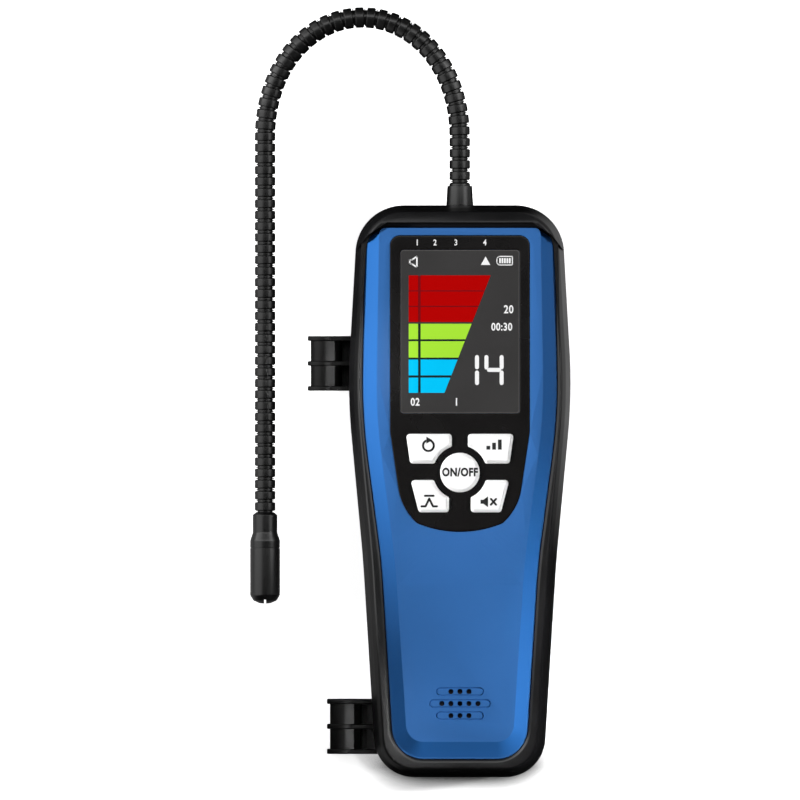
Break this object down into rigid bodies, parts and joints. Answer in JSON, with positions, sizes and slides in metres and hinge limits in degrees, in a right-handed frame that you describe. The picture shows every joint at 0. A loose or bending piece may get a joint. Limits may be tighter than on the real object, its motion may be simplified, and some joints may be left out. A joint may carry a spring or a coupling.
{
  "type": "refrigerant leak detector",
  "caption": "Handheld gas leak detector with a keyed display casing, side clips and a bendable gooseneck that carries a sensor head.",
  "frame": {"origin": "on the flat back of the casing, which it lies on, at the middle of its length and width", "axes": "+Z out of the front face, +Y towards the neck, +X to the right seen from the front"},
  "size_m": [0.112, 0.2693, 0.0375],
  "materials": {
    "black_abs": "fine moulded texture",
    "bumper_rubber": "satin moulded",
    "blue_abs": "satin moulded",
    "bezel_gloss": "satin film",
    "window": "polished",
    "lcd": "smooth",
    "key_white": "satin moulded",
    "switch_nylon": "moulded",
    "board": "solder mask",
    "buzzer_nylon": "moulded",
    "cell": "printed sleeve",
    "contact": "nickel plated",
    "screw": "zinc plated",
    "neck_coat": "black coated",
    "clip_nylon": "moulded",
    "head_abs": "satin moulded",
    "seal": "moulded",
    "element": "ceramic",
    "filter": "sintered felt"
  },
  "bodies": {
    "casing": {"front_shell": "black_abs", "rear_shell": "black_abs", "top_cap": "bumper_rubber", "front_panel": "blue_abs", "display_bezel": "bezel_gloss", "display_window": "window", "lcd_module": "lcd", "key_switches": "switch_nylon", "main_board": "board", "buzzer": "buzzer_nylon", "battery_1": "cell", "battery_2": "cell", "battery_3": "cell", "contact_springs": "contact", "contact_plates": "contact", "case_screws": "screw", "board_screws": "screw", "neck_ferrule": "black_abs", "neck_base": "neck_coat", "upper_clip": "clip_nylon", "lower_clip": "clip_nylon"},
    "power_key": {"power_button": "key_white"},
    "reset_key": {"reset_button": "key_white"},
    "level_key": {"level_button": "key_white"},
    "peak_key": {"peak_button": "key_white"},
    "mute_key": {"mute_button": "key_white"},
    "door": {"battery_door": "black_abs"},
    "link_1": {"neck_link_1": "neck_coat"},
    "link_2": {"neck_link_2": "neck_coat"},
    "link_3": {"neck_link_3": "neck_coat"},
    "link_4": {"neck_link_4": "neck_coat"},
    "link_5": {"neck_link_5": "neck_coat"},
    "link_6": {"neck_link_6": "neck_coat"},
    "link_7": {"neck_link_7": "neck_coat"},
    "link_8": {"neck_link_8": "neck_coat"},
    "link_9": {"neck_link_9": "neck_coat"},
    "link_10": {"neck_link_10": "neck_coat"},
    "link_11": {"neck_link_11": "neck_coat"},
    "link_12": {"neck_link_12": "neck_coat"},
    "link_13": {"neck_link_13": "neck_coat"},
    "link_14": {"neck_link_14": "neck_coat", "sensor_housing": "head_abs", "sensor_seal": "seal", "sensor_element": "element"},
    "sensor_tip": {"sensor_cap": "head_abs", "sensor_filter": "filter"}
  },
  "joints": [
    {"name": "power_press", "type": "slide", "parent": "casing", "child": "power_key", "axis": [0, 0, -1], "range_m": [0, 0.0008], "stiffness_N_per_m": 1500},
    {"name": "reset_press", "type": "slide", "parent": "casing", "child": "reset_key", "axis": [0, 0, -1], "range_m": [0, 0.0008], "stiffness_N_per_m": 1500},
    {"name": "level_press", "type": "slide", "parent": "casing", "child": "level_key", "axis": [0, 0, -1], "range_m": [0, 0.0008], "stiffness_N_per_m": 1500},
    {"name": "peak_press", "type": "slide", "parent": "casing", "child": "peak_key", "axis": [0, 0, -1], "range_m": [0, 0.0008], "stiffness_N_per_m": 1500},
    {"name": "mute_press", "type": "slide", "parent": "casing", "child": "mute_key", "axis": [0, 0, -1], "range_m": [0, 0.0008], "stiffness_N_per_m": 1500},
    {"name": "door_slide", "type": "slide", "parent": "casing", "child": "door", "axis": [0, -1, 0], "range_m": [0, 0.065]},
    {"name": "neck_bend_1", "type": "hinge", "parent": "casing", "child": "link_1", "pos_m": [-0.00057, 0.13191, 0.018], "axis": [0, 0, 1], "range_deg": [-10, 0]},
    {"name": "neck_bend_2", "type": "hinge", "parent": "link_1", "child": "link_2", "pos_m": [-0.00362, 0.14325, 0.018], "axis": [0, 0, 1], "range_deg": [-18, 0]},
    {"name": "neck_bend_3", "type": "hinge", "parent": "link_2", "child": "link_3", "pos_m": [-0.0095, 0.1534, 0.018], "axis": [0, 0, 1], "range_deg": [-19, 0]},
    {"name": "neck_bend_4", "type": "hinge", "parent": "link_3", "child": "link_4", "pos_m": [-0.01824, 0.1612, 0.018], "axis": [0, 0, 1], "range_deg": [-20, 0]},
    {"name": "neck_bend_5", "type": "hinge", "parent": "link_4", "child": "link_5", "pos_m": [-0.02918, 0.16536, 0.018], "axis": [0, 0, 1], "range_deg": [-20.6, 0]},
    {"name": "neck_bend_6", "type": "hinge", "parent": "link_5", "child": "link_6", "pos_m": [-0.04088, 0.16497, 0.018], "axis": [0, 0, 1], "range_deg": [-20.6, 0]},
    {"name": "neck_bend_7", "type": "hinge", "parent": "link_6", "child": "link_7", "pos_m": [-0.05153, 0.16012, 0.018], "axis": [0, 0, 1], "range_deg": [-19.9, 0]},
    {"name": "neck_bend_8", "type": "hinge", "parent": "link_7", "child": "link_8", "pos_m": [-0.05981, 0.15183, 0.018], "axis": [0, 0, 1], "range_deg": [-18.9, 0]},
    {"name": "neck_bend_9", "type": "hinge", "parent": "link_8", "child": "link_9", "pos_m": [-0.06522, 0.14142, 0.018], "axis": [0, 0, 1], "range_deg": [-17.8, 0]},
    {"name": "neck_bend_10", "type": "hinge", "parent": "link_9", "child": "link_10", "pos_m": [-0.06782, 0.12996, 0.018], "axis": [0, 0, 1], "range_deg": [-10, 0]},
    {"name": "neck_bend_11", "type": "hinge", "parent": "link_10", "child": "link_11", "pos_m": [-0.0681, 0.10252, 0.018], "axis": [0, 0, 1], "range_deg": [-12, 1.5]},
    {"name": "neck_bend_12", "type": "hinge", "parent": "link_11", "child": "link_12", "pos_m": [-0.0681, 0.07506, 0.018], "axis": [0, 0, 1], "range_deg": [-12, 1.5]},
    {"name": "neck_bend_13", "type": "hinge", "parent": "link_12", "child": "link_13", "pos_m": [-0.0681, 0.0476, 0.018], "axis": [0, 0, 1], "range_deg": [-12, 1.5]},
    {"name": "neck_bend_14", "type": "hinge", "parent": "link_13", "child": "link_14", "pos_m": [-0.0681, 0.02014, 0.018], "axis": [0, 0, 1], "range_deg": [-12, 1.5]},
    {"name": "sensor_cap_pull", "type": "slide", "parent": "link_14", "child": "sensor_tip", "axis": [0, -1, 0], "range_m": [0, 0.025]}
  ]
}
